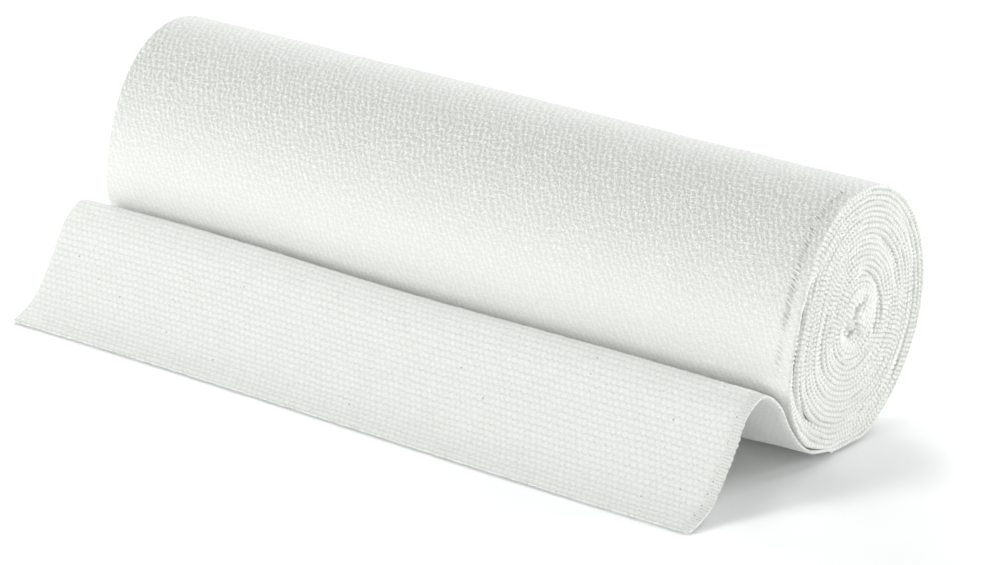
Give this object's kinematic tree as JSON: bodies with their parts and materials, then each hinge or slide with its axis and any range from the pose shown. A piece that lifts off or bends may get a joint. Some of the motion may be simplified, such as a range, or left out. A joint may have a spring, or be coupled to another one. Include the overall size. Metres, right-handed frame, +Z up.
{
  "type": "short stretch bandage roll",
  "caption": "Woven cotton bandage wound by hand into an oval roll with uneven ends, its loose end drawn out in front over a rounded fold and down to a straight edge.",
  "frame": {"origin": "middle of the footprint of the roll and its loose end, on the surface they rest on", "axes": "+X along the roll's axis, which is the cloth's width, towards the roll's right end; -Y towards the loose end's front edge; +Z up"},
  "size_m": [0.2014, 0.0914, 0.0602],
  "materials": {
    "wound_cloth": "matt off-white woven cotton with a crepe surface",
    "loose_cloth": "matt off-white plain woven cotton, ribbed across"
  },
  "bodies": {
    "root": {"wound_roll": "wound_cloth", "loose_end": "loose_cloth"}
  },
  "joints": []
}
